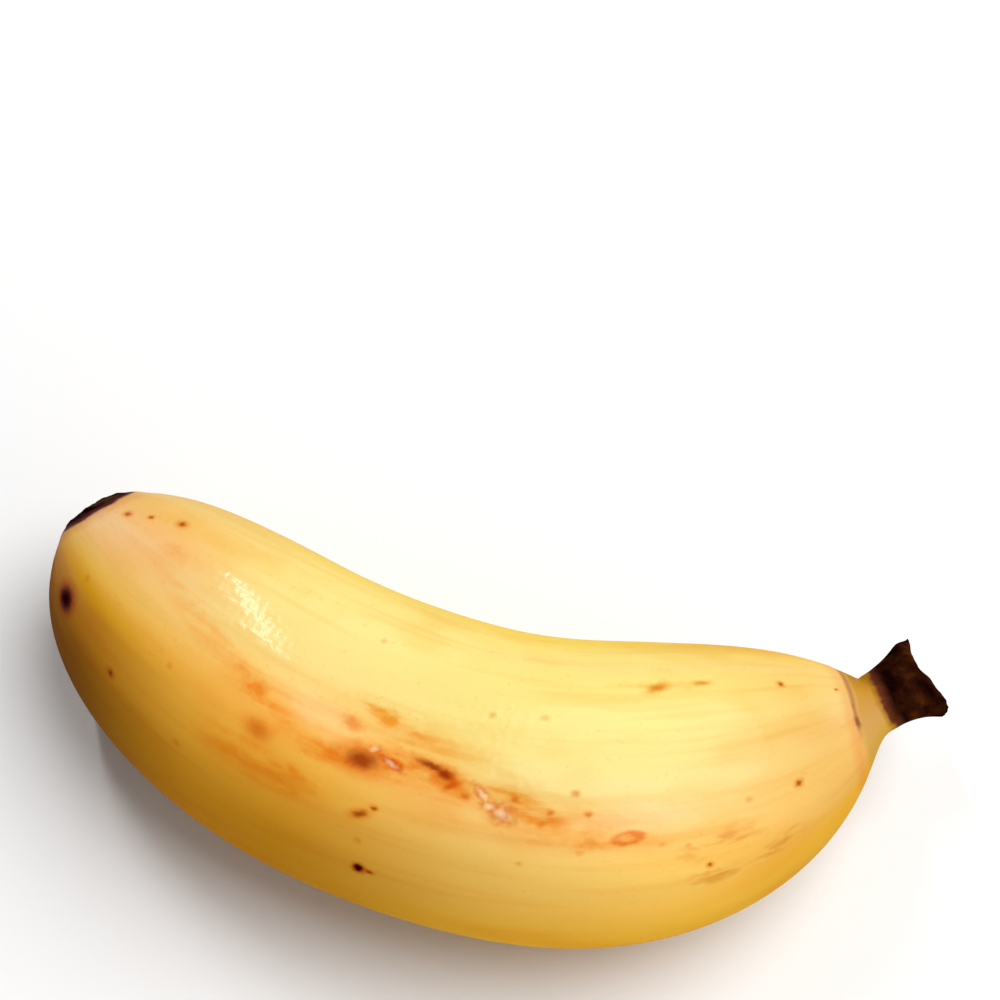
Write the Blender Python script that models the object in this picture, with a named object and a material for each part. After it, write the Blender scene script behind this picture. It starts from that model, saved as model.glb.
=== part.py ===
"""A short, plump banana lying on its side, modelled as one closed solid.

The fruit is a skin of rings swept along a bowed centre line. The line bows in a plane that leans a few
degrees, as the fruit rolls until both ends near the ground. +X runs from the blossom end to the stem end,
+Y is the hollow side of the bow and +Z is up. The origin is on the ground, under the middle of the fruit.
"""

import math

import bmesh
import bpy
import numpy as np

# The bowed centre line, in metres, as two arms that rise from the deepest point of the bow.
TIP_REACH = 0.0580  # from the deepest point back to the blossom end, along X
TIP_RISE = 0.0236  # how far the blossom end lies on the hollow side of that point
TIP_HOOK = -0.10  # 0 is a parabola; above 0 the arm bends late, below 0 it straightens out
NECK_REACH = 0.0475  # from the deepest point on to the neck
NECK_RISE = 0.0238
NECK_HOOK = 0.16
SIDE_LEAN = math.radians(10.5)  # the bow's plane, lower at both ends

# The body's full section, and how it falls away towards its two ends.
BODY_WIDTH = 0.0387  # across the bow
BODY_HEIGHT = 0.0377
PLUMPEST_AT = 0.0703  # from the blossom end, along the centre line
TIP_BLUNTNESS = 3.7
SHOULDER_BLUNTNESS = 2.8
INNER_SHOULDER = 0.58  # lower is fuller: the hollow side keeps its width longest
OUTER_SHOULDER = 0.93

# Five soft ridges, where the faces of the peel meet. Angles run from the top of the lying fruit
# towards the hollow side; the ridge that faces out turns a little on its way to the stem.
RIDGE_ANGLES = tuple(math.radians(angle) for angle in (20, 92, 167, 252, 322))
RIDGE_HEIGHT = 0.0009
RIDGE_TIGHTNESS = 12.0
RIDGE_TWIST = math.radians(-10)

# The low scab at the blossom end.
SCAR_WIDTH = 0.0105
SCAR_RISE = 0.0008

# The neck, and the stub of stem with its torn, slanting end.
NECK_WIDTH = 0.0079
NECK_THICKNESS = 0.0070
STUB_LENGTH = 0.0068
STUB_WIDTH = 0.0120
STUB_THICKNESS = 0.0056
INNER_FLARE = 1.7  # how late each side of the stub widens: 1 is a straight cone
OUTER_FLARE = 4.0
INNER_LOBE = 0.0029  # how far each corner of the torn end stands past its middle
OUTER_LOBE = 0.0003

GROUND_FLAT = 0.0004  # how deep the soft underside is pressed flat

RINGS_ON_BODY = 40
RINGS_ON_STUB = 6
RINGS_ON_END = 3
AROUND = 48
PEEL_COLOUR = (0.95, 0.66, 0.17, 1.0)


def centre_line():
    """Dense points of the bowed centre line, blossom end to neck, and the distance run to each."""
    x = np.linspace(-TIP_REACH, NECK_REACH, 2001)
    tip, neck = (x / TIP_REACH) ** 2, (x / NECK_REACH) ** 2
    tip_arm = TIP_RISE * (tip + TIP_HOOK * (tip**2 - tip))
    neck_arm = NECK_RISE * (neck + NECK_HOOK * (neck**2 - neck))
    y = np.where(x < 0, tip_arm, neck_arm)
    points = np.stack([x, y], axis=-1)
    steps = np.linalg.norm(np.diff(points, axis=0), axis=1)
    return points, np.concatenate([[0.0], np.cumsum(steps)])


def along_line(run, points, distance):
    """Centre and forward direction at each distance; past the neck the line runs on straight."""
    heading = np.gradient(points, run, axis=0)
    heading /= np.linalg.norm(heading, axis=1, keepdims=True)
    centre = np.stack([np.interp(distance, run, points[:, k]) for k in (0, 1)], axis=-1)
    forward = np.stack([np.interp(distance, run, heading[:, k]) for k in (0, 1)], axis=-1)
    past = np.maximum(distance - run[-1], 0.0)
    return centre + past[..., None] * forward, forward


def fullness(distance, neck_at, angle):
    """Share of the full section: rises as a blunt dome from the tip and sinks, conelike, to the neck."""
    from_tip = np.clip(distance / PLUMPEST_AT, 0.0, 1.0)
    from_neck = np.clip((neck_at - distance) / (neck_at - PLUMPEST_AT), 0.0, 1.0)
    hollow_side = 0.5 + 0.5 * np.sin(angle)
    shoulder = OUTER_SHOULDER + (INNER_SHOULDER - OUTER_SHOULDER) * hollow_side
    dome = (1.0 - (1.0 - from_tip) ** TIP_BLUNTNESS) ** 0.5
    return dome * (1.0 - (1.0 - from_neck) ** SHOULDER_BLUNTNESS) ** shoulder


def ridges(distance, neck_at, angle):
    """Height of the soft ridges, each a rounded bump in angle that turns slowly along the fruit."""
    turned = angle - RIDGE_TWIST * (distance / neck_at - 0.5)
    bumps = [np.exp(RIDGE_TIGHTNESS * (np.cos(turned - place) - 1.0)) for place in RIDGE_ANGLES]
    return RIDGE_HEIGHT * (sum(bumps) - 0.7)


def fruit_points(distance, spread, angle):
    """Points of the skin on a grid of rings (distance along the line, spread of the ring) and angles.

    The half-widths are those of the body and of the neck, joined by a fourth-power mean, so that the body
    sinks smoothly into the neck. The stub's torn end slants: its two corners stand past its middle.
    """
    points, run = centre_line()
    neck_at = run[-1]
    distance, spread, angle = distance[:, None], spread[:, None], angle[None, :]
    share = fullness(distance, neck_at, angle)
    bump = ridges(distance, neck_at, angle)
    flare = OUTER_FLARE + (INNER_FLARE - OUTER_FLARE) * (0.5 + 0.5 * np.sin(angle))
    past_neck = np.clip((distance - neck_at) / STUB_LENGTH, 0.0, 1.0) ** flare
    before_neck = np.clip((distance - PLUMPEST_AT) / (neck_at - PLUMPEST_AT), 0.0, 1.0)

    def joined(body, neck, stub):
        """Half of the body's size, joined to half of the neck's, which widens or thins to the stub's."""
        stem = before_neck * (neck + (stub - neck) * past_neck) / 2
        return ((share * (body / 2 + bump)) ** 4 + stem**4) ** 0.25

    across = spread * joined(BODY_WIDTH, NECK_WIDTH, STUB_WIDTH) * np.sin(angle)
    above = spread * joined(BODY_HEIGHT, NECK_THICKNESS, STUB_THICKNESS) * np.cos(angle)
    side = np.clip(2 * across / STUB_WIDTH, -1.0, 1.0)
    lobe = np.where(side > 0, INNER_LOBE, OUTER_LOBE) * side**2 * past_neck
    scab = SCAR_RISE * np.exp(-((np.hypot(across, above) / (SCAR_WIDTH / 2)) ** 6)) * (distance < PLUMPEST_AT)

    centre, forward = along_line(run, points, distance)
    inward = np.stack([-forward[..., 1], forward[..., 0]], axis=-1)
    flat = centre + forward * (lobe - scab)[..., None] + inward * across[..., None]
    x, y = flat[..., 0], flat[..., 1]
    return np.stack(
        [
            x,
            y * math.cos(SIDE_LEAN) + above * math.sin(SIDE_LEAN),
            above * math.cos(SIDE_LEAN) - y * math.sin(SIDE_LEAN),
        ],
        axis=-1,
    )


def fruit_rings():
    """Every ring of the solid, set down with its underside a little below the ground."""
    neck_at = centre_line()[1][-1]
    from_tip = 1.0 - np.cos(np.linspace(0.04, 1.0, RINGS_ON_BODY) * math.pi / 2)
    past_middle = 0.5 - 0.5 * np.cos(np.linspace(0.0, 1.0, RINGS_ON_BODY) * math.pi)
    body = neck_at * (0.5 * (from_tip / from_tip[-1]) + 0.5 * past_middle)
    stub = neck_at + STUB_LENGTH * np.linspace(0.0, 1.0, RINGS_ON_STUB + 1)[1:]
    end = np.full(RINGS_ON_END, neck_at + STUB_LENGTH)
    distance = np.concatenate([body, stub, end])
    spread = np.ones(len(distance))
    spread[-RINGS_ON_END:] = np.linspace(1.0, 0.1, RINGS_ON_END + 1)[1:]
    angle = np.linspace(0.0, 2 * math.pi, AROUND, endpoint=False)
    rings = fruit_points(distance, spread, angle)
    low, high = rings.min(axis=(0, 1)), rings.max(axis=(0, 1))
    return rings - [(low[0] + high[0]) / 2, (low[1] + high[1]) / 2, low[2] + GROUND_FLAT]


def extrude_ring(skin, rim, points):
    """Extrudes the rim and moves its new vertices to the next ring's points, in the same order."""
    edges = [skin.edges.get(pair) for pair in zip(rim, rim[1:] + rim[:1])]
    made = bmesh.ops.extrude_edge_only(skin, edges=edges)["geom"]
    fresh = {item for item in made if isinstance(item, bmesh.types.BMVert)}
    following = []
    for vertex, point in zip(rim, points):
        above = next(edge.other_vert(vertex) for edge in vertex.link_edges if edge.other_vert(vertex) in fresh)
        above.co = point
        following.append(above)
    return following


def close_holes(skin):
    bmesh.ops.holes_fill(skin, edges=[edge for edge in skin.edges if edge.is_boundary], sides=0)


def fruit_mesh():
    """The swept skin, closed at both ends, cut flat where it rests and closed there too."""
    rings = fruit_rings()
    skin = bmesh.new()
    rim = [skin.verts.new(point) for point in rings[0]]
    for pair in zip(rim, rim[1:] + rim[:1]):
        skin.edges.new(pair)
    for points in rings[1:]:
        rim = extrude_ring(skin, rim, points)
    close_holes(skin)
    everything = skin.verts[:] + skin.edges[:] + skin.faces[:]
    bmesh.ops.bisect_plane(skin, geom=everything, plane_co=(0, 0, 0), plane_no=(0, 0, 1), clear_inner=True)
    close_holes(skin)
    bmesh.ops.recalc_face_normals(skin, faces=skin.faces)
    mesh = bpy.data.meshes.new("banana")
    skin.to_mesh(mesh)
    skin.free()
    mesh.shade_smooth()
    return mesh


def peel_material():
    material = bpy.data.materials.new("banana_peel")
    material.use_nodes = True
    shader = material.node_tree.nodes["Principled BSDF"]
    shader.inputs["Base Color"].default_value = PEEL_COLOUR
    shader.inputs["Roughness"].default_value = 0.45
    shader.inputs["Metallic"].default_value = 0.0
    return material


def main():
    for item in list(bpy.data.objects):
        bpy.data.objects.remove(item, do_unlink=True)
    banana = bpy.data.objects.new("banana", fruit_mesh())
    banana.data.materials.append(peel_material())
    bpy.context.scene.collection.objects.link(banana)


if __name__ == "__main__":
    main()
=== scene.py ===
"""A short, plump ripe banana lying on its side on a pale floor, in soft studio light.

The fruit is one skin, worked out with numpy as a function of two numbers: how far along the bowed centre
line a point lies, and how far round the fruit. Lengths are in millimetres until the mesh is made.
"""

import math

import bpy
import numpy as np
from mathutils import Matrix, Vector


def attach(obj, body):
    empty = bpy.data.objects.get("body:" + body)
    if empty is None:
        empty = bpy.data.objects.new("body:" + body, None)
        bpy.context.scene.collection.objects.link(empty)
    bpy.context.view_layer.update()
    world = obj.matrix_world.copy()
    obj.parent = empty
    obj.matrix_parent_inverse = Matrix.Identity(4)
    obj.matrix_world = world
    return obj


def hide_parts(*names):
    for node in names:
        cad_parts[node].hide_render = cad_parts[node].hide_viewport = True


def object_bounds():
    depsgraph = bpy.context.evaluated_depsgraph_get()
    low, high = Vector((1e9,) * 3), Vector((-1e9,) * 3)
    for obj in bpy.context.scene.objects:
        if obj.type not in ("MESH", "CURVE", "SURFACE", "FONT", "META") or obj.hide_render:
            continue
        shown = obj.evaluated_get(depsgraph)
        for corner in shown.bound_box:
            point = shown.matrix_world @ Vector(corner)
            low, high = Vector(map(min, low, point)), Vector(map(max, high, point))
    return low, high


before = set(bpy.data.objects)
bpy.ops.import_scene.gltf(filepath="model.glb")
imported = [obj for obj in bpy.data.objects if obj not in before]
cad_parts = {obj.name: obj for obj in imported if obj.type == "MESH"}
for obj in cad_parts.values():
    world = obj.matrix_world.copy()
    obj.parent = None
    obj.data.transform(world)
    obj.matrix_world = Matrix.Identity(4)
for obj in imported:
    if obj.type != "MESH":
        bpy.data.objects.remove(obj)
cad_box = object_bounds()
MM = 0.001

# ------------------------------------------------------------------ sizes of the fruit, in millimetres

TIP_REACH, TIP_RISE, TIP_HOOK = 58.1, 23.4, -0.07  # the centre line's two arms, from its deepest point
NECK_REACH, NECK_RISE, NECK_HOOK = 47.3, 23.95, 0.16
SIDE_LEAN = math.radians(10.5)  # the bow's plane leans this far off the floor
BODY_WIDTH, BODY_HEIGHT = 38.5, 38.2
PLUMPEST_AT = 69.2
TIP_BLUNTNESS, SHOULDER_BLUNTNESS = 3.7, 2.8
INNER_SHOULDER, OUTER_SHOULDER = 0.57, 0.935
INNER_SADDLE = 1.0  # the body meets the neck this much sooner on the hollow side
INNER_BLEND, OUTER_BLEND = 2.5, 3.5  # how tightly the body's shoulder and the stem run into one another
RIDGE_ANGLES = (15, 92, 167, 252, 317)  # degrees round from the top, halfway along
RIDGE_HEIGHT, RIDGE_TIGHTNESS, RIDGE_TWIST = 1.3, 12.0, -9.0
NECK_WIDTH, NECK_THICKNESS = 8.05, 7.0
STUB_LENGTH, STUB_THICKNESS = 6.4, 5.8
INNER_END, OUTER_END = 6.15, 7.4  # the torn end's half-widths towards and away from the hollow side
INNER_FLARE, OUTER_FLARE = 3.95, 2.65  # how late the stub flares, as powers
INNER_LOBE, OUTER_LOBE, LOBE_ROUNDING = 5.0, 0.7, 0.76  # how far the torn end's two sides stand out
INNER_CORNER, OUTER_CORNER, CORNER_FROM = 0.19, 0.22, 0.78  # the share drawn in at its corners
GROUND_FLAT = 0.4  # how deep the underside is pressed flat where it lies
UNROLLED_RADIUS = 19.0  # the peel's patterns are laid out on a straight cylinder of this radius

SCAB_FACES = np.array([-0.67, 0.64, 0.37])  # the dark scab is a cap of the tip, cut off square to this
SCAB_DEPTH = 1.5
SCAB_RIM_HEIGHT, SCAB_RIM_WIDTH = 0.14, 0.45
SCAB_HEIGHT = 0.15
COLLAR_AT = 112.2  # a slanting crease round the shoulder, where the stem's collar begins
COLLAR_SLANT, COLLAR_DRAWN_IN = 3.2, 1.6
CREASE_DEPTH, CREASE_WIDTH = 0.16, 0.5
LIP_HEIGHT, LIP_WIDTH, LIP_BEFORE_CREASE = 0.10, 0.8, 1.3
STEM_DARK_AT = 116.9  # the dried, dark part of the stem begins here, on a slanting line
STEM_DARK_SLANT = 2.2

LUMP_HEIGHT, LUMP_LENGTH = 0.11, 26.0  # the peel's unevenness, in broad lumps,
FLAT_HEIGHT, FLAT_WIDTH = 0.05, 6.0  # in faint flats along its fibres,
FURROW_HEIGHT, FURROW_WIDTH = 0.014, 2.4  # and in fine furrows
STEM_RIB_HEIGHT, STEM_RIB_WIDTH = 0.10, 5.5
TORN_HOLLOW = 0.8  # how deep the torn end is sunk in its middle

AROUND = 224  # points in each ring of the skin
DOME_RINGS, BODY_RINGS, STEM_RINGS, END_RINGS = 36, 284, 76, 24
DOME_TO, STEM_FROM = 5.0, 110.0  # the rings lie closer before the first and past the second


# ------------------------------------------------------------------ the fruit's shape


def smooth(low, high, value):
    """0 below low, 1 above high, and 3t^2 - 2t^3 between them."""
    t = np.clip((value - low) / (high - low), 0.0, 1.0)
    return t * t * (3.0 - 2.0 * t)


def waves(places, wavelength, seed, count=14):
    """Smooth relief of about unit height: a sum of sine waves of about one length, each its own way."""
    rng = np.random.default_rng(seed)
    ways = rng.normal(size=(count, 3))
    ways /= np.linalg.norm(ways, axis=1, keepdims=True)
    lengths = wavelength * rng.uniform(0.7, 1.5, count)
    starts = rng.uniform(0.0, 2 * math.pi, count)
    per_mm = ways * (2 * math.pi / lengths)[:, None]
    total = sum(np.sin(places @ way + start) for way, start in zip(per_mm, starts))
    return total * math.sqrt(2.0 / count)


def centre_line():
    """The bowed centre line: each arm rises from the deepest point as t^2, bent late or early by its hook."""
    x = np.linspace(-TIP_REACH, NECK_REACH, 2001)
    tip, neck = (x / TIP_REACH) ** 2, (x / NECK_REACH) ** 2
    tip_arm = TIP_RISE * (tip + TIP_HOOK * (tip**2 - tip))
    neck_arm = NECK_RISE * (neck + NECK_HOOK * (neck**2 - neck))
    points = np.stack([x, np.where(x < 0, tip_arm, neck_arm)], axis=-1)
    steps = np.linalg.norm(np.diff(points, axis=0), axis=1)
    return points, np.concatenate([[0.0], np.cumsum(steps)])


LINE, LINE_RUN = centre_line()
NECK_AT = LINE_RUN[-1]
FRUIT_LENGTH = NECK_AT + STUB_LENGTH


def along_line(distance):
    """Centre and forward direction at each distance; past the neck the line runs on straight."""
    heading = np.gradient(LINE, LINE_RUN, axis=0)
    heading /= np.linalg.norm(heading, axis=1, keepdims=True)
    centre = np.stack([np.interp(distance, LINE_RUN, LINE[:, k]) for k in (0, 1)], axis=-1)
    forward = np.stack([np.interp(distance, LINE_RUN, heading[:, k]) for k in (0, 1)], axis=-1)
    past = np.maximum(distance - NECK_AT, 0.0)
    return centre + past[..., None] * forward, forward


def fullness(distance, angle):
    """Share of the full section: a blunt dome from the tip, then a sinking, conelike fall to the neck."""
    from_tip = np.clip(distance / PLUMPEST_AT, 0.0, 1.0)
    inner = 0.5 + 0.5 * np.sin(angle)
    body_end = NECK_AT - INNER_SADDLE * inner
    from_neck = np.clip((body_end - distance) / (body_end - PLUMPEST_AT), 0.0, 1.0)
    shoulder = OUTER_SHOULDER + (INNER_SHOULDER - OUTER_SHOULDER) * inner
    dome = (1.0 - (1.0 - from_tip) ** TIP_BLUNTNESS) ** 0.5
    return dome * (1.0 - (1.0 - from_neck) ** SHOULDER_BLUNTNESS) ** shoulder


def ridges(distance, angle):
    """The soft ridges between the peel's faces: rounded bumps in angle that turn slowly along the fruit."""
    turned = angle - math.radians(RIDGE_TWIST) * (distance / NECK_AT - 0.5)
    bumps = [np.exp(RIDGE_TIGHTNESS * (np.cos(turned - math.radians(a)) - 1.0)) for a in RIDGE_ANGLES]
    return RIDGE_HEIGHT * (sum(bumps) - 0.7)


def unrolled(distance, angle):
    """Each point's place on a straight cylinder, where the peel's fibres run along the third axis."""
    across = UNROLLED_RADIUS * np.sin(angle) + 0.0 * distance
    above = UNROLLED_RADIUS * np.cos(angle) + 0.0 * distance
    return np.stack([across, above, distance + 0.0 * angle], axis=-1)


def collar_line(angle):
    """Distance of the collar's crease: a slanting ring that draws in to the stem underneath."""
    drawn_in = COLLAR_DRAWN_IN * (1.0 - np.cos(angle - math.radians(10))) ** 2
    return COLLAR_AT + COLLAR_SLANT * np.sin(angle) + drawn_in


def stem_line(angle):
    """Distance where the dark stem begins: a ring that dips towards the outer side of the top."""
    return STEM_DARK_AT + STEM_DARK_SLANT * (1.0 - np.cos(angle + math.radians(32)))


def peel_relief(straight, distance, angle):
    """Height of the peel's own unevenness: lumps, flats along the fibres, furrows and the collar."""
    lumps = LUMP_HEIGHT * waves(straight, LUMP_LENGTH, seed=1)
    flats = FLAT_HEIGHT * waves(straight * [1.0, 1.0, 0.10], FLAT_WIDTH, seed=2)
    furrows = FURROW_HEIGHT * waves(straight * [1.0, 1.0, 0.05], FURROW_WIDTH, seed=3)
    return lumps + flats + furrows + collar_relief(distance, angle)


def collar_relief(distance, angle):
    """The crease at the collar and the low lip before it, both strongest on top."""
    past = distance - collar_line(angle)
    crease = -CREASE_DEPTH * np.exp(-((past / CREASE_WIDTH) ** 2))
    lip = LIP_HEIGHT * np.exp(-(((past + LIP_BEFORE_CREASE) / LIP_WIDTH) ** 2))
    strength = 0.35 + 0.65 * smooth(-0.2, 0.9, np.cos(angle - math.radians(5)))
    return (crease + lip) * strength


def skin_rows():
    """Distance along the line and spread of every ring; the last rings close the stub's torn end."""
    dome = np.linspace(0.01, DOME_TO, DOME_RINGS, endpoint=False)
    body = np.linspace(DOME_TO, STEM_FROM, BODY_RINGS, endpoint=False)
    stem = np.linspace(STEM_FROM, FRUIT_LENGTH, STEM_RINGS)
    end_spread = np.linspace(1.0, 0.02, END_RINGS + 1)[1:]
    distance = np.concatenate([dome, body, stem, np.full(len(end_spread), FRUIT_LENGTH)])
    spread = np.concatenate([np.ones(len(dome) + len(body) + len(stem)), end_spread])
    return distance[:, None], spread[:, None]


def skin_grid(relief=1.0):
    """The skin's points, and the patterns' numbers that go with them, on a grid of rings and angles.

    A point is the centre line's point, plus its half-width across and above times the sine and cosine of
    its angle. A half-width is the root of the sum of the body's and the stem's, each to the power blend.
    """
    distance, spread = skin_rows()
    angle = np.linspace(-math.pi, math.pi, AROUND, endpoint=False)[None, :]
    straight = unrolled(distance, angle)
    share = fullness(distance, angle)
    height = ridges(distance, angle) + relief * peel_relief(straight, distance, angle)
    stub = np.clip((distance - NECK_AT) / STUB_LENGTH, 0.0, 1.0)
    inner = 0.5 + 0.5 * np.sin(angle)
    flare = stub ** (OUTER_FLARE + (INNER_FLARE - OUTER_FLARE) * inner)
    stub_width = 2 * np.where(np.sin(angle) > 0, INNER_END, OUTER_END)
    before_neck = np.clip((distance - PLUMPEST_AT) / (NECK_AT - PLUMPEST_AT), 0.0, 1.0)
    ribs = STEM_RIB_HEIGHT * waves(straight * [1.0, 1.0, 0.25], STEM_RIB_WIDTH, seed=4)
    ribs = relief * ribs * smooth(0.0, 0.5, stub)
    blend = OUTER_BLEND + (INNER_BLEND - OUTER_BLEND) * inner

    def half(body, neck, end):
        stem = before_neck * ((neck + (end - neck) * flare) / 2 + ribs)
        return ((share * (body / 2 + height)) ** blend + stem**blend) ** (1 / blend)

    rounding = OUTER_CORNER + (INNER_CORNER - OUTER_CORNER) * inner
    spread = spread * (1.0 - rounding * smooth(CORNER_FROM, 1.0, stub) ** 2)
    across = spread * half(BODY_WIDTH, NECK_WIDTH, stub_width) * np.sin(angle)
    above = spread * half(BODY_HEIGHT, NECK_THICKNESS, STUB_THICKNESS) * np.cos(angle)
    side = np.clip(2 * across / stub_width, -1.0, 1.0)
    lobe = np.where(side > 0, INNER_LOBE, OUTER_LOBE) * (side**2 - LOBE_ROUNDING * side**8) * flare
    torn = np.stack([across, above, 0.0 * across], axis=-1)
    ragged = relief * (0.09 * waves(torn, 2.6, seed=5) + 0.04 * waves(torn, 1.1, seed=6)) * stub**4
    hollow = -TORN_HOLLOW * smooth(1.0, 0.3, spread) * (stub >= 1.0)

    centre, forward = along_line(distance)
    inward = np.stack([-forward[..., 1], forward[..., 0]], axis=-1)
    flat = centre + forward * (lobe + ragged + hollow)[..., None] + inward * across[..., None]
    x, y = flat[..., 0], flat[..., 1]
    points = np.stack(
        [
            x,
            y * math.cos(SIDE_LEAN) + above * math.sin(SIDE_LEAN),
            above * math.cos(SIDE_LEAN) - y * math.sin(SIDE_LEAN),
        ],
        axis=-1,
    )
    scab = scab_inset(points)
    points = points + relief * SCAB_FACES * scab_relief(points, scab)[..., None]
    patterns = {
        "straight": straight,
        "scab": scab,
        "stem": distance - stem_line(angle) + 0.0 * angle,
        "collar": distance - collar_line(angle),
    }
    return points, distance, angle, patterns


def scab_inset(points):
    """How far past the plane that cuts off the scab's cap a point lies, in millimetres."""
    faces = points @ SCAB_FACES
    return faces - faces.max() + SCAB_DEPTH


def scab_relief(points, inset):
    """A low rim where the peel curls round the scab, and a rough, slightly raised scab inside it."""
    rim = SCAB_RIM_HEIGHT * np.exp(-(((inset - 0.1) / SCAB_RIM_WIDTH) ** 2))
    rough = 0.06 * waves(points, 2.2, seed=7) + 0.03 * waves(points, 1.0, seed=8)
    return rim + (SCAB_HEIGHT + rough) * smooth(0.1, 0.9, inset)


def set_down(points):
    """Moves the skin onto the CAD fruit's place: the smooth fruit's middle meets its box's, in X and Y.

    The underside is pressed flat at the floor.
    """
    smooth_points = skin_grid(relief=0.0)[0]
    low, high = smooth_points.min(axis=(0, 1)), smooth_points.max(axis=(0, 1))
    cad_low, cad_high = (np.array(corner) / MM for corner in cad_box)
    middle = (cad_low + cad_high) / 2 - (low + high) / 2
    points = points + [middle[0], middle[1], cad_low[2] - low[2] - GROUND_FLAT]
    points[..., 2] = np.maximum(points[..., 2], cad_low[2])
    return points


def skin_mesh():
    """A quad for every cell of the grid, joined all round, with a fan of triangles at each pole."""
    points, distance, angle, patterns = skin_grid()
    points = set_down(points)
    rows, columns = points.shape[:2]
    count = rows * columns
    poles = np.stack([points[0].mean(axis=0), points[-1].mean(axis=0)])
    places = np.concatenate([points.reshape(-1, 3), poles]) * MM

    row, column = np.meshgrid(np.arange(rows - 1), np.arange(columns), indexing="ij")
    following = (column + 1) % columns
    corner = row * columns + column
    side = row * columns + following
    quads = np.stack([corner, corner + columns, side + columns, side], axis=-1).reshape(-1, 4)
    first, last = np.arange(columns), (rows - 1) * columns + np.arange(columns)
    tip_fan = np.stack([np.full(columns, count), first, np.roll(first, -1)], axis=-1)
    end_fan = np.stack([np.full(columns, count + 1), np.roll(last, -1), last], axis=-1)

    mesh = bpy.data.meshes.new("banana_skin")
    mesh.from_pydata(places.tolist(), [], quads.tolist() + tip_fan.tolist() + end_fan.tolist())
    lay_out(mesh, distance, angle)
    for name, values in patterns.items():
        width = 3 if values.ndim == 3 else 1
        flat = np.asarray(values + np.zeros(points.shape[:2] + (3,) if width == 3 else points.shape[:2]))
        ends = np.stack([flat[0].mean(axis=0), flat[-1].mean(axis=0)])
        every = np.concatenate([flat.reshape(count, -1), ends.reshape(2, -1)])
        kind = "FLOAT_VECTOR" if width == 3 else "FLOAT"
        attribute = mesh.attributes.new(name, kind, "POINT")
        attribute.data.foreach_set("vector" if width == 3 else "value", every.ravel().astype(np.float32))
    mesh.shade_smooth()
    mesh.validate()
    return mesh


def lay_out(mesh, distance, angle):
    """The peel's own map, in millimetres: across is the way round from the top, up is the way along."""
    rows, columns = distance.shape[0], angle.shape[1]
    step = 2 * math.pi / columns
    row, column = np.meshgrid(np.arange(rows - 1), np.arange(columns), indexing="ij")
    left, right = angle[0][column] * UNROLLED_RADIUS, (angle[0][column] + step) * UNROLLED_RADIUS
    near, far = distance[:, 0][row], distance[:, 0][row + 1]
    corners = np.stack([left, near, left, far, right, far, right, near], axis=-1).reshape(-1)
    around = angle[0] * UNROLLED_RADIUS
    fan = np.stack([around, around, around + step * UNROLLED_RADIUS], axis=-1)
    ends = []
    for order, far_along in ((fan, 0.0), (fan[:, [0, 2, 1]], FRUIT_LENGTH)):
        ends.append(np.stack([order, np.full(order.shape, far_along)], axis=-1).reshape(-1))
    layer = mesh.uv_layers.new(name="unrolled")
    layer.data.foreach_set("uv", np.concatenate([corners, *ends]).astype(np.float32))


# ------------------------------------------------------------------ finishes


def linear(hex_colour):
    """An sRGB hex colour as linear red, green, blue and full alpha."""
    channels = [int(hex_colour[k : k + 2], 16) / 255 for k in (1, 3, 5)]
    return (*(c / 12.92 if c <= 0.04045 else ((c + 0.055) / 1.055) ** 2.4 for c in channels), 1.0)


def add(tree, kind, inputs=None, **settings):
    """Adds a node with its settings, and sets or links its inputs."""
    node = tree.nodes.new(kind)
    for name, value in settings.items():
        setattr(node, name, value)
    for key, value in (inputs or {}).items():
        if isinstance(value, bpy.types.NodeSocket):
            tree.links.new(value, node.inputs[key])
        else:
            node.inputs[key].default_value = value
    return node


def math_of(tree, operation, *values):
    """One sum, product or other simple working of numbers, as a socket."""
    return add(tree, "ShaderNodeMath", dict(enumerate(values)), operation=operation).outputs[0]


def spread_over(tree, value, low, high, start=0.0, end=1.0):
    """Eases from start to end while the value goes from low to high."""
    inputs = {0: value, 1: low, 2: high, 3: start, 4: end}
    return add(tree, "ShaderNodeMapRange", inputs, interpolation_type="SMOOTHSTEP").outputs[0]


def colours_over(tree, value, stops):
    """A colour ramp with the given stops, each a position and an sRGB hex colour."""
    ramp = add(tree, "ShaderNodeValToRGB", {0: value})
    elements = ramp.color_ramp.elements
    elements.remove(elements[1])
    elements[0].position, elements[0].color = stops[0][0], linear(stops[0][1])
    for position, colour in stops[1:]:
        elements.new(position).color = linear(colour)
    return ramp.outputs[0]


def tint(tree, colour, share, over, blend="MULTIPLY"):
    """Lays one colour over another by a share from 0 to 1; multiplied, it stains as a dye does."""
    inputs = {0: share, 6: colour, 7: linear(over) if isinstance(over, str) else over}
    return add(tree, "ShaderNodeMix", inputs, data_type="RGBA", blend_type=blend).outputs[2]


def grain(tree, place, size, detail=2.0, stretch=(1.0, 1.0, 1.0), seed=0.0):
    """Noise about 0.5 whose blotches are about size millimetres, drawn out by stretch."""
    scale = tuple(1.0 / (size * s) for s in stretch)
    inputs = {"Vector": place, "Location": (seed, 2 * seed, 3 * seed), "Scale": scale}
    own = add(tree, "ShaderNodeMapping", inputs).outputs[0]
    return add(tree, "ShaderNodeTexNoise", {"Vector": own, "Scale": 1.0, "Detail": detail})


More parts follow.
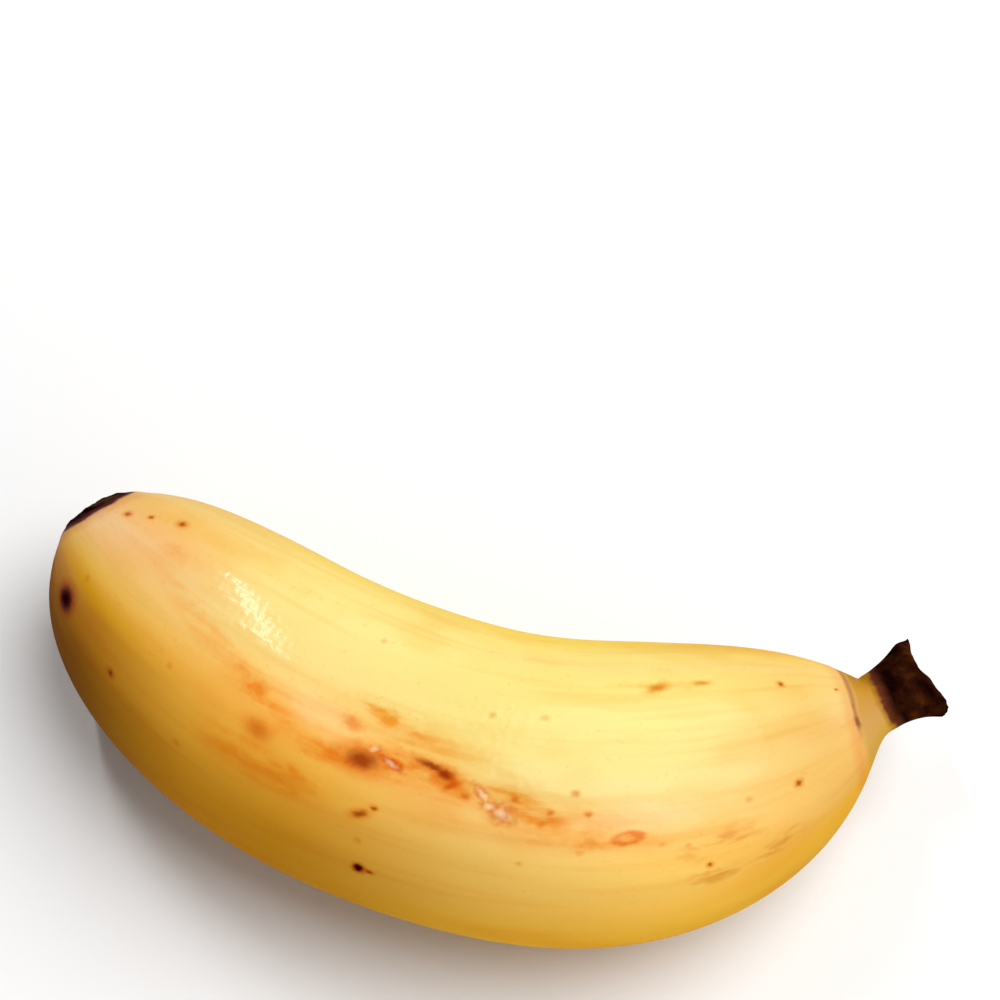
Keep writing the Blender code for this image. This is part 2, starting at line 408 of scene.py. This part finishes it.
def rim_distance(tree, place, marks):
    """Distance from the nearest mark's middle, where 1 is that mark's rim.

    A mark is a soft ellipse on the unrolled peel: millimetres from the blossom end, degrees round from
    the top, half its length along the fruit, half its width, and how far it is turned, in degrees.
    """
    nearest = None
    for along, around, half_length, half_width, turned in marks:
        middle = (math.radians(around) * UNROLLED_RADIUS, along, 0.0)
        share = (1 / half_width, 1 / half_length, 0.0)
        own = place
        if turned:
            inputs = {"Vector": place, "Center": middle, "Angle": -math.radians(turned)}
            own = add(tree, "ShaderNodeVectorRotate", inputs, rotation_type="Z_AXIS").outputs[0]
        inputs = {0: own, 1: share, 2: tuple(-m * s for m, s in zip(middle, share))}
        own = add(tree, "ShaderNodeVectorMath", inputs, operation="MULTIPLY_ADD").outputs[0]
        reach = add(tree, "ShaderNodeVectorMath", {0: own}, operation="LENGTH").outputs["Value"]
        nearest = reach if nearest is None else math_of(tree, "MINIMUM", nearest, reach)
    return nearest


# Marks on the peel, by kind, as rim_distance reads them.
DARK_SPOTS = (
    (11.6, -58, 1.9, 2.8, 10),
    (55.9, -80, 0.62, 0.85, 0),
    (41.0, 128, 0.9, 0.7, 10),
    (88.0, 96, 0.7, 0.55, 0),
)
BROWN_FLECKS = (
    (9.7, 2, 0.55, 0.6, 0),
    (12.9, 7, 0.4, 0.4, 0),
    (17.2, 12, 0.6, 0.6, 60),
    (57.0, -80, 0.4, 0.35, 0),
    (55.1, -54, 0.9, 0.5, -35),
    (56.3, -50, 0.35, 0.3, 0),
    (102.1, 7, 0.42, 0.45, 0),
    (110.0, 2, 0.3, 0.3, 0),
    (99.4, -41, 0.45, 0.5, 0),
    (88.7, -63, 0.3, 0.35, 0),
    (23.0, -62, 0.5, 0.55, 0),
    (111.0, -100, 0.5, 0.5, 0),
    (24.0, 88, 0.45, 0.4, 0),
    (33.5, 76, 0.35, 0.35, 0),
    (58.0, 108, 0.45, 0.4, 0),
    (63.5, 121, 0.3, 0.3, 0),
    (71.0, 84, 0.5, 0.35, 20),
    (97.0, 118, 0.4, 0.4, 0),
    (16.0, 150, 0.45, 0.4, 0),
    (48.0, 172, 0.4, 0.4, 0),
    (80.0, -128, 0.45, 0.4, 0),
    (36.0, -118, 0.5, 0.4, 15),
    (66.0, -150, 0.35, 0.35, 0),
)
AMBER_DASHES = (
    (85.4, 8.5, 1.3, 0.5, -19),
    (91.5, 10, 1.0, 0.35, 0),
    (42.2, -41, 1.5, 1.1, 8),
    (64.8, -37, 0.42, 0.38, 0),
    (69.6, -35, 0.45, 0.38, 0),
    (63.2, -34.5, 0.8, 0.3, -40),
    (73.2, -38, 0.33, 0.33, 0),
    (75.6, -31, 0.38, 0.35, 0),
    (76.9, -38, 0.35, 0.33, 0),
    (52.0, 95, 1.2, 0.5, 0),
    (76.0, 112, 0.8, 0.5, 0),
    (28.0, 140, 0.6, 0.5, 0),
)
FAINT_FLECKS = (
    (13.3, -38, 0.5, 0.6, 0),
    (34.0, -66, 0.6, 0.5, 0),
    (29.7, -40, 0.45, 0.45, 0),
    (50.2, 9, 0.4, 0.4, 0),
    (93.3, -40, 0.45, 0.4, 0),
    (72.4, -42, 0.45, 0.4, 0),
    (70.8, -58, 0.45, 0.4, 0),
    (76.2, -52, 0.45, 0.4, 0),
    (55.4, -66, 0.5, 0.6, 0),
    (65.8, -6, 0.5, 0.4, 0),
    (71.8, -4, 0.6, 0.4, 0),
    (84.0, -50, 0.5, 0.3, 0),
    (86.5, -52, 0.35, 0.3, 0),
    (111.3, -13, 0.4, 0.5, 0),
    (90.0, 60, 0.6, 0.5, 0),
)
BRUISES = (
    (53.7, -35.0, 2.0, 1.25, -6),
    (60.8, -29.5, 2.0, 0.5, 10),
    (62.3, -31.0, 1.2, 0.65, 20),
    (84.0, 93, 2.6, 0.8, 4),
)
AMBER_CLOUDS = (
    (51.0, -37.5, 3.6, 1.3, 4),
    (57.5, -33.0, 4.2, 1.6, 8),
    (63.0, -33.5, 3.2, 1.5, 12),
    (69.5, -34.5, 3.0, 2.4, 20),
    (72.0, -40.0, 3.0, 1.2, 10),
    (77.6, -45.0, 1.7, 1.4, 0),
    (80.9, -46.5, 1.7, 0.9, 0),
    (51.4, -24.5, 1.2, 1.2, 30),
    (39.5, -28.5, 3.4, 0.9, 14),
    (54.0, -16.0, 3.0, 0.8, 6),
    (55.5, -19.0, 3.4, 0.9, 6),
    (47.5, -52.0, 3.0, 1.3, 8),
    (78.0, 94, 5.0, 1.4, 0),
    (45.0, 168, 5.0, 1.4, 0),
)
RUBBED_BANDS = (
    (31.0, -21.0, 9.0, 1.6, 14),
    (43.0, -31.0, 7.0, 2.4, 10),
    (58.0, -24.0, 10.0, 3.2, 8),
    (62.0, -36.0, 14.0, 3.0, 6),
    (76.0, -44.0, 9.0, 3.0, 4),
    (42.0, -54.0, 7.0, 3.0, 6),
    (19.7, -2.0, 2.2, 1.2, 0),
    (85.0, 10.0, 5.0, 0.7, 0),
    (62.0, 93.0, 16.0, 2.4, 0),
    (50.0, 166.0, 18.0, 2.6, 0),
)
SCUFFS = (
    (90.0, -54.0, 5.0, 2.0, -6),
    (96.0, -66.0, 4.0, 1.8, -10),
    (89.0, -70.0, 3.5, 1.6, 0),
    (40.0, 122.0, 4.0, 1.8, 0),
)
# Scar marks, pink-brown and wrinkled, each with a painted glint of pale cream where light catches it.
SCARS_WITH_PAINTED_GLINTS = (
    (66.4, -34.8, 0.8, 0.30, 45),
    (68.6, -40.4, 0.8, 0.65, 30),
    (67.3, -38.6, 0.5, 0.35, 0),
    (56.8, -32.8, 0.9, 0.28, 20),
    (54.6, -30.0, 0.5, 0.28, -30),
)
HEALED_RING = ((80.7, -46.5, 1.5, 0.75, -10),)
# Painted sheen: pale cream patches where soft highlights lie, near the tip, past the wax streak and along the
# front ridge.
PAINTED_SHEEN_PATCHES = (
    (10.0, -14.0, 5.0, 4.0, 0),
    (82.0, -40.0, 6.0, 1.6, 0),
    (48.0, -26.0, 5.0, 2.0, 8),
)
# A darker spot on the collar's crease, low on its front side.
COLLAR_DARK_SPOT = ((110.8, -27, 0.6, 2.0, 0),)


# The peel's colour round the fruit, in degrees from the top, at four places along it.
# Ripeness tones, with painted light in the paler top and painted shade in the darker, browner underside, most
# at the blossom end.
BLOSSOM_END_TONE_AND_SHADE = (
    (-180, "#a06a08"),
    (-100, "#804a04"),
    (-80, "#8c5404"),
    (-70, "#a06606"),
    (-60, "#b87608"),
    (-50, "#cc840a"),
    (-40, "#e2a21c"),
    (-30, "#ebb856"),
    (-20, "#edbb6e"),
    (-8, "#eebe80"),
    (2, "#f0ba74"),
    (12, "#e8b45e"),
    (30, "#e0bb66"),
    (100, "#cf9a28"),
    (180, "#a06a08"),
)
OUTER_HALF_TONE_AND_SHADE = (
    (-180, "#c08a1c"),
    (-100, "#d09018"),
    (-80, "#da961c"),
    (-65, "#f2aa2c"),
    (-50, "#fcba40"),
    (-38, "#f8b64c"),
    (-30, "#f5bc5c"),
    (-20, "#eec774"),
    (-10, "#e9d080"),
    (0, "#e8d482"),
    (10, "#ead686"),
    (20, "#e8d17e"),
    (30, "#e6cc72"),
    (40, "#e6c95a"),
    (100, "#d2a438"),
    (180, "#c08a1c"),
)
SHOULDER_HALF_TONE_AND_SHADE = (
    (-180, "#d09a30"),
    (-100, "#f0b634"),
    (-80, "#fac456"),
    (-60, "#fed06c"),
    (-50, "#fccd76"),
    (-40, "#eec67a"),
    (-30, "#e2cc80"),
    (-18, "#e1ce7a"),
    (-5, "#e3d27c"),
    (12, "#e6d179"),
    (20, "#e8d07a"),
    (30, "#eacf6a"),
    (40, "#eccb52"),
    (100, "#d8aa40"),
    (180, "#d09a30"),
)
STEM_END_TONE_AND_SHADE = (
    (-180, "#cc9a3c"),
    (-100, "#d09e30"),
    (-80, "#d89f28"),
    (-60, "#d6a452"),
    (-40, "#d5a958"),
    (-20, "#d6ad66"),
    (-8, "#d8b970"),
    (5, "#dab664"),
    (20, "#e1bc64"),
    (30, "#e3bc50"),
    (40, "#e2b434"),
    (100, "#d8a848"),
    (180, "#cc9a3c"),
)


def peel_colour_and_painted_shade(tree, straight, turn, along):
    """Lemon yellow on top, golden below and towards the blossom end, with faint streaks along the fibres; the
    paler top holds painted light and the darker, browner underside painted shade, most of all at the blossom
    end.
    """
    # Each ring of stops holds painted light on the top and painted shade on the underside.
    tones_and_shade = [
        colours_over(tree, turn, [(angle / 360 + 0.5, colour) for angle, colour in stops])
        for stops in (BLOSSOM_END_TONE_AND_SHADE, OUTER_HALF_TONE_AND_SHADE, SHOULDER_HALF_TONE_AND_SHADE, STEM_END_TONE_AND_SHADE)
    ]
    colour = tint(tree, tones_and_shade[0], spread_over(tree, along, 14.0, 40.0), tones_and_shade[1], "MIX")
    colour = tint(tree, colour, spread_over(tree, along, 46.0, 74.0), tones_and_shade[2], "MIX")
    colour = tint(tree, colour, spread_over(tree, along, 82.0, 108.0), tones_and_shade[3], "MIX")

    ripening = grain(tree, straight, 9.0, detail=2.0, stretch=(1.0, 1.0, 1.6)).outputs["Fac"]
    colour = tint(tree, colour, spread_over(tree, ripening, 0.46, 0.68, 0.0, 0.5), "#fbe6c0")
    streaks = grain(tree, straight, 1.5, detail=2.0, stretch=(1.0, 1.0, 14.0), seed=3.0).outputs["Fac"]
    colour = tint(tree, colour, spread_over(tree, streaks, 0.48, 0.75, 0.0, 0.35), "#f9e0bc")
    speckle = grain(tree, straight, 0.7, detail=1.0, seed=5.0).outputs["Fac"]
    colour = tint(tree, colour, spread_over(tree, speckle, 0.64, 0.80, 0.0, 0.25), "#f0cc98")
    return colour, streaks


def wandering(tree, place, size, reach, seed):
    """The place moved about by noise of a size, so that a mark's rim is uneven."""
    noise = grain(tree, place, size, detail=2.0, seed=seed).outputs["Color"]
    middle = {0: noise, 1: (0.5, 0.5, 0.5)}
    off = add(tree, "ShaderNodeVectorMath", middle, operation="SUBTRACT").outputs[0]
    inputs = {0: off, 1: (reach, reach, 0.0), 2: place}
    return add(tree, "ShaderNodeVectorMath", inputs, operation="MULTIPLY_ADD").outputs[0]


def marked(tree, colour, peel_map, straight, streaks):
    """Stains the peel with its marks, and says how dull they leave it.

    Rubbed bands and amber clouds first, stranded by the fibres, then scuffs, pale patches of painted sheen,
    bruises, scar marks with painted glints, flecks and spots.
    """
    wide = wandering(tree, peel_map, 1.8, 2.4, seed=7.0)
    fine = wandering(tree, peel_map, 0.7, 0.5, seed=8.0)
    smudge = grain(tree, straight, 1.3, detail=3.0, stretch=(1.0, 1.0, 2.5), seed=9.0).outputs["Fac"]
    patchy = spread_over(tree, smudge, 0.40, 0.62, 0.45, 1.0)
    strands = math_of(tree, "MULTIPLY", patchy, spread_over(tree, streaks, 0.40, 0.60, 0.6, 1.0))
    bands = spread_over(tree, rim_distance(tree, wide, RUBBED_BANDS), 0.1, 1.5, 0.9, 0.0)
    colour = tint(tree, colour, math_of(tree, "MULTIPLY", bands, strands), "#fad4a4")
    clouds = spread_over(tree, rim_distance(tree, wide, AMBER_CLOUDS), 0.1, 1.5, 1.0, 0.0)
    colour = tint(tree, colour, math_of(tree, "MULTIPLY", clouds, patchy), "#f3c474")
    scuffs = spread_over(tree, rim_distance(tree, wide, SCUFFS), 0.2, 1.4, 0.8, 0.0)
    scuffs = math_of(tree, "MULTIPLY", scuffs, spread_over(tree, smudge, 0.42, 0.66))
    colour = tint(tree, colour, scuffs, "#e6c8a0")
    # Painted sheen: a pale cream mixed in where soft highlights lie.
    pale = spread_over(tree, rim_distance(tree, wide, PAINTED_SHEEN_PATCHES), 0.2, 1.5, 0.24, 0.0)
    colour = tint(tree, colour, pale, "#f6d4a8", "MIX")

    bruised = rim_distance(tree, fine, BRUISES)
    colour = tint(tree, colour, spread_over(tree, bruised, 0.6, 2.4, 0.8, 0.0), "#f0ba78")
    colour = tint(tree, colour, spread_over(tree, bruised, 0.2, 1.25, 1.0, 0.0), "#b07c5c")
    ring = math_of(tree, "ABSOLUTE", math_of(tree, "SUBTRACT", rim_distance(tree, fine, HEALED_RING), 0.85))
    colour = tint(tree, colour, spread_over(tree, ring, 0.0, 0.6, 0.65, 0.0), "#f0a880")
    scars_and_glints = rim_distance(tree, fine, SCARS_WITH_PAINTED_GLINTS)
    wrinkles = grain(tree, straight, 0.8, detail=1.0, seed=10.0).outputs["Fac"]
    wrinkles = spread_over(tree, wrinkles, 0.25, 0.75)
    scarred = math_of(tree, "MULTIPLY", spread_over(tree, scars_and_glints, 1.0, 3.0, 0.9, 0.0), wrinkles)
    colour = tint(tree, colour, scarred, "#e2a47c")
    # Painted glints: a pale cream mixed over each scar mark stands in for light catching its wrinkled edges.
    colour = tint(tree, colour, spread_over(tree, scars_and_glints, 0.0, 1.5, 0.42, 0.0), "#fae0c0", "MIX")

    faint = spread_over(tree, rim_distance(tree, fine, FAINT_FLECKS), 0.1, 1.5, 0.6, 0.0)
    colour = tint(tree, colour, faint, "#f0c480")
    dashes = rim_distance(tree, fine, AMBER_DASHES)
    colour = tint(tree, colour, spread_over(tree, dashes, 0.8, 2.2, 0.5, 0.0), "#f6cc8c")
    colour = tint(tree, colour, spread_over(tree, dashes, 0.2, 1.4, 0.75, 0.0), "#e4b070")
    flecks = rim_distance(tree, fine, BROWN_FLECKS)
    colour = tint(tree, colour, spread_over(tree, flecks, 0.8, 2.4, 0.7, 0.0), "#f6c880")
    colour = tint(tree, colour, spread_over(tree, flecks, 0.2, 1.35, 0.95, 0.0), "#bc8038")
    spots = rim_distance(tree, fine, DARK_SPOTS)
    colour = tint(tree, colour, spread_over(tree, spots, 0.8, 1.7, 0.8, 0.0), "#e0a050")
    colour = tint(tree, colour, spread_over(tree, spots, 0.45, 1.15, 1.0, 0.0), "#8c4418")
    spotted = spread_over(tree, spots, 0.1, 0.95, 1.0, 0.0)
    return tint(tree, colour, spotted, "#7c4830"), spotted


def stem_and_collar(tree, colour, turn, peel_map, torn_by, past_collar, past_stem):
    """Colours the olive-gold collar, with painted shade along its crease and a darker spot on the crease, and
    the dried, dark stem past it.
    """
    blush = math_of(tree, "ABSOLUTE", math_of(tree, "ADD", past_collar, 0.9))
    colour = tint(tree, colour, spread_over(tree, blush, 0.0, 2.0, 0.5, 0.0), "#f8cca8")
    olives = [(0.30, "#c09438"), (0.40, "#ba8c4c"), (0.5, "#b47c20"), (0.58, "#a06a08")]
    olive = colours_over(tree, turn, olives)
    colour = tint(tree, colour, spread_over(tree, past_collar, -0.3, 1.2, 0.0, 0.9), olive, "MIX")
    # Painted shade: the collar is darkened along its crease on the top side, where shade lies in the fold.
    from_top = math_of(tree, "ABSOLUTE", math_of(tree, "SUBTRACT", turn, 0.53))
    crease = spread_over(tree, math_of(tree, "ABSOLUTE", past_collar), 0.0, 0.8, 0.8, 0.0)
    crease = math_of(tree, "MULTIPLY", crease, spread_over(tree, from_top, 0.08, 0.17, 1.0, 0.0))
    colour = tint(tree, colour, crease, "#bc9080")
    # A darker spot on the crease, low on its front side.
    crease_spot = rim_distance(tree, wandering(tree, peel_map, 0.9, 0.6, seed=12.0), COLLAR_DARK_SPOT)
    colour = tint(tree, colour, spread_over(tree, crease_spot, 0.2, 1.4, 0.8, 0.0), "#a88880")
    colour = tint(tree, colour, spread_over(tree, past_stem, -1.3, -0.4, 0.0, 0.7), "#946410", "MIX")
    colour = tint(tree, colour, spread_over(tree, past_stem, -0.5, 0.3), "#602e1c", "MIX")
    browns = [(0.34, "#100302"), (0.46, "#200a04"), (0.56, "#2c1106"), (0.66, "#3c1c06"), (0.76, "#5c3010")]
    dried = colours_over(tree, torn_by, browns)
    return tint(tree, colour, spread_over(tree, past_stem, -0.1, 1.6), dried, "MIX")


def scabbed(tree, colour, torn_by, in_scab):
    """Colours the blossom scab: a faint stain, a dark red rim, and a nearly black crust inside it."""
    colour = tint(tree, colour, spread_over(tree, in_scab, -1.4, 0.0, 0.0, 0.5), "#e0b090")
    colour = tint(tree, colour, spread_over(tree, in_scab, -0.2, 0.15), "#4c1616", "MIX")
    crust = colours_over(tree, torn_by, [(0.38, "#0c0403"), (0.50, "#1c0c08"), (0.62, "#402c1a")])
    return tint(tree, colour, spread_over(tree, in_scab, 0.25, 0.8), crust, "MIX")


def wax(tree, shader, straight, turn, past_collar, dull):
    """A satin peel under a thin coat of wax, thickest on top, thin on the collar and gone where dull."""
    satin = grain(tree, straight, 4.0, detail=2.0, stretch=(1.0, 1.0, 3.0), seed=13.0).outputs["Fac"]
    satin = spread_over(tree, satin, 0.3, 0.7, 0.36, 0.48)
    tree.links.new(math_of(tree, "MULTIPLY_ADD", dull, 0.26, satin), shader.inputs["Roughness"])
    coat = spread_over(tree, turn, 0.30, 0.43, 0.04, 0.34)
    coat = math_of(tree, "MINIMUM", coat, spread_over(tree, turn, 0.54, 0.64, 0.34, 0.12))
    coat = math_of(tree, "MULTIPLY", coat, spread_over(tree, past_collar, -0.6, 0.6, 1.0, 0.15))
    coat = math_of(tree, "MULTIPLY", coat, math_of(tree, "SUBTRACT", 1.0, dull))
    tree.links.new(coat, shader.inputs["Coat Weight"])
    shader.inputs["IOR"].default_value = 1.45
    shader.inputs["Specular IOR Level"].default_value = 0.0
    shader.inputs["Coat Roughness"].default_value = 0.13
    shader.inputs["Coat IOR"].default_value = 1.45


def fine_bumps(tree, shader, straight, solid, dull):
    """Shallow pores and finer fibres on the peel, and a coarse roughness on the dull places."""
    pores = grain(tree, straight, 0.9, detail=0.0, seed=17.0).outputs["Fac"]
    fibres = grain(tree, straight, 0.6, detail=2.0, stretch=(1.0, 1.0, 9.0), seed=19.0).outputs["Fac"]
    rough = grain(tree, solid, 0.9, detail=4.0, seed=23.0).outputs["Fac"]
    height = math_of(tree, "MULTIPLY", pores, 0.024)
    height = math_of(tree, "MULTIPLY_ADD", fibres, 0.008, height)
    height = math_of(tree, "MULTIPLY_ADD", math_of(tree, "MULTIPLY", dull, rough), 0.16, height)
    bump = add(tree, "ShaderNodeBump", {"Strength": 1.0, "Distance": MM, "Height": height})
    tree.links.new(bump.outputs[0], shader.inputs["Normal"])
    tree.links.new(bump.outputs[0], shader.inputs["Coat Normal"])


def peel_material():
    """Ripe banana peel, grown: a waxy skin over fibres that run the fruit's length.

    The wax gives a soft, broad shine; the fibres give faint streaks along the fruit, and the pores break
    the shine up into beads. Where it is bruised or rubbed the peel turns amber and brown. The dried stem
    and the scab at the blossom end are dull and nearly black.
    """
    material = bpy.data.materials.new("ripe_banana_peel")
    material.use_nodes = True
    tree = material.node_tree
    shader = tree.nodes["Principled BSDF"]

    straight = add(tree, "ShaderNodeAttribute", attribute_name="straight").outputs["Vector"]
    past_stem = add(tree, "ShaderNodeAttribute", attribute_name="stem").outputs["Fac"]
    past_collar = add(tree, "ShaderNodeAttribute", attribute_name="collar").outputs["Fac"]
    in_scab = add(tree, "ShaderNodeAttribute", attribute_name="scab").outputs["Fac"]
    peel_map = add(tree, "ShaderNodeUVMap", uv_map="unrolled").outputs["UV"]
    round_and_along = add(tree, "ShaderNodeSeparateXYZ", {0: peel_map}).outputs
    per_turn = 1 / (2 * math.pi * UNROLLED_RADIUS)
    turn = math_of(tree, "MULTIPLY_ADD", round_and_along["X"], per_turn, 0.5)
    in_metres = add(tree, "ShaderNodeTexCoord").outputs["Object"]
    solid = add(tree, "ShaderNodeVectorMath", {0: in_metres, "Scale": 1 / MM}, operation="SCALE").outputs[0]

    # The edges of the collar, the stem and the scab are moved about by one ragged noise.
    torn_by = grain(tree, solid, 2.2, detail=4.0, seed=11.0).outputs["Fac"]
    shift = math_of(tree, "MULTIPLY_ADD", torn_by, 2.4, -1.2)
    past_collar = math_of(tree, "ADD", past_collar, math_of(tree, "MULTIPLY", shift, 0.25))
    past_stem = math_of(tree, "ADD", past_stem, shift)
    in_scab = math_of(tree, "MULTIPLY_ADD", shift, 0.3, in_scab)

    colour, streaks = peel_colour_and_painted_shade(tree, straight, turn, round_and_along["Y"])
    colour, spotted = marked(tree, colour, peel_map, straight, streaks)
    colour = stem_and_collar(tree, colour, turn, peel_map, torn_by, past_collar, past_stem)
    colour = scabbed(tree, colour, torn_by, in_scab)
    tree.links.new(colour, shader.inputs["Base Color"])

    crusted = spread_over(tree, in_scab, -0.2, 0.5)
    dull = math_of(tree, "MAXIMUM", crusted, spread_over(tree, past_stem, -0.5, 1.0))
    dull = math_of(tree, "MAXIMUM", dull, spotted)
    wax(tree, shader, straight, turn, past_collar, dull)
    fine_bumps(tree, shader, straight, solid, dull)
    return material


# ------------------------------------------------------------------ the room


def floor():
    """A pale, matt floor, wide enough to fill every view."""
    half = 6.0
    corners = [(-half, -half, 0), (half, -half, 0), (half, half, 0), (-half, half, 0)]
    mesh = bpy.data.meshes.new("floor")
    mesh.from_pydata(corners, [], [(0, 1, 2, 3)])
    material = bpy.data.materials.new("pale_matt_card")
    material.use_nodes = True
    shader = material.node_tree.nodes["Principled BSDF"]
    shader.inputs["Base Color"].default_value = linear("#ececec")
    shader.inputs["Roughness"].default_value = 1.0
    shader.inputs["Specular IOR Level"].default_value = 0.0
    mesh.materials.append(material)
    ground = bpy.data.objects.new("floor", mesh)
    bpy.context.scene.collection.objects.link(ground)


def direction(azimuth, elevation):
    """Unit vector from the fruit; azimuth 0 is the front, -Y, and grows towards +X."""
    a, e = math.radians(azimuth), math.radians(elevation)
    return Vector((math.sin(a) * math.cos(e), -math.cos(a) * math.cos(e), math.sin(e)))


def place_facing(item, target, azimuth, elevation, distance):
    """Puts a lamp or camera at a distance from the target, looking at it."""
    towards = direction(azimuth, elevation)
    item.location = target + towards * distance
    item.rotation_euler = towards.to_track_quat("Z", "Y").to_euler()


def soft_box(name, azimuth, elevation, distance, width, height, power, roll=0.0):
    """A flat lamp, facing the fruit, turned about its own axis by roll degrees."""
    light = bpy.data.lights.new(name, "AREA")
    light.shape, light.size, light.size_y, light.energy = "ELLIPSE", width, height, power
    lamp = bpy.data.objects.new(name, light)
    bpy.context.scene.collection.objects.link(lamp)
    fruit_middle = Vector((0.0, 0.0, 0.02))
    place_facing(lamp, fruit_middle, azimuth, elevation, distance)
    lamp.rotation_euler.rotate_axis("Z", math.radians(roll))


def lights():
    """A broad lamp overhead, a weak one on the stem's side, a narrow one behind, and a pale room."""
    soft_box("overhead_softbox", 118, 62, 1.0, 1.0, 1.0, 11.8)
    soft_box("front_fill", 58, 24, 1.0, 0.9, 0.9, 2.2)
    soft_box("far_strip", -137, 51, 0.7, 0.02, 0.34, 0.9, roll=-19)
    world = bpy.data.worlds.new("pale_room")
    world.use_nodes = True
    world.node_tree.nodes["Background"].inputs["Color"].default_value = linear("#ffffff")
    world.node_tree.nodes["Background"].inputs["Strength"].default_value = 0.20
    bpy.context.scene.world = world


def camera():
    """A long lens looks down on the fruit, a little from the stem's side."""
    lens = bpy.data.cameras.new("camera")
    lens.lens, lens.clip_start = 100.0, 0.01
    holder = bpy.data.objects.new("camera", lens)
    bpy.context.scene.collection.objects.link(holder)
    aim = Vector((-3.88, 30.6, 19.0)) * MM
    place_facing(holder, aim, azimuth=14.0, elevation=65.0, distance=0.361)
    bpy.context.scene.camera = holder
    bpy.context.scene.view_settings.view_transform = "Standard"


def main():
    skin = bpy.data.objects.new("banana_skin", skin_mesh())
    bpy.context.scene.collection.objects.link(skin)
    skin.data.materials.append(peel_material())
    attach(skin, "root")
    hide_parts("banana")
    floor()
    lights()
    camera()


main()
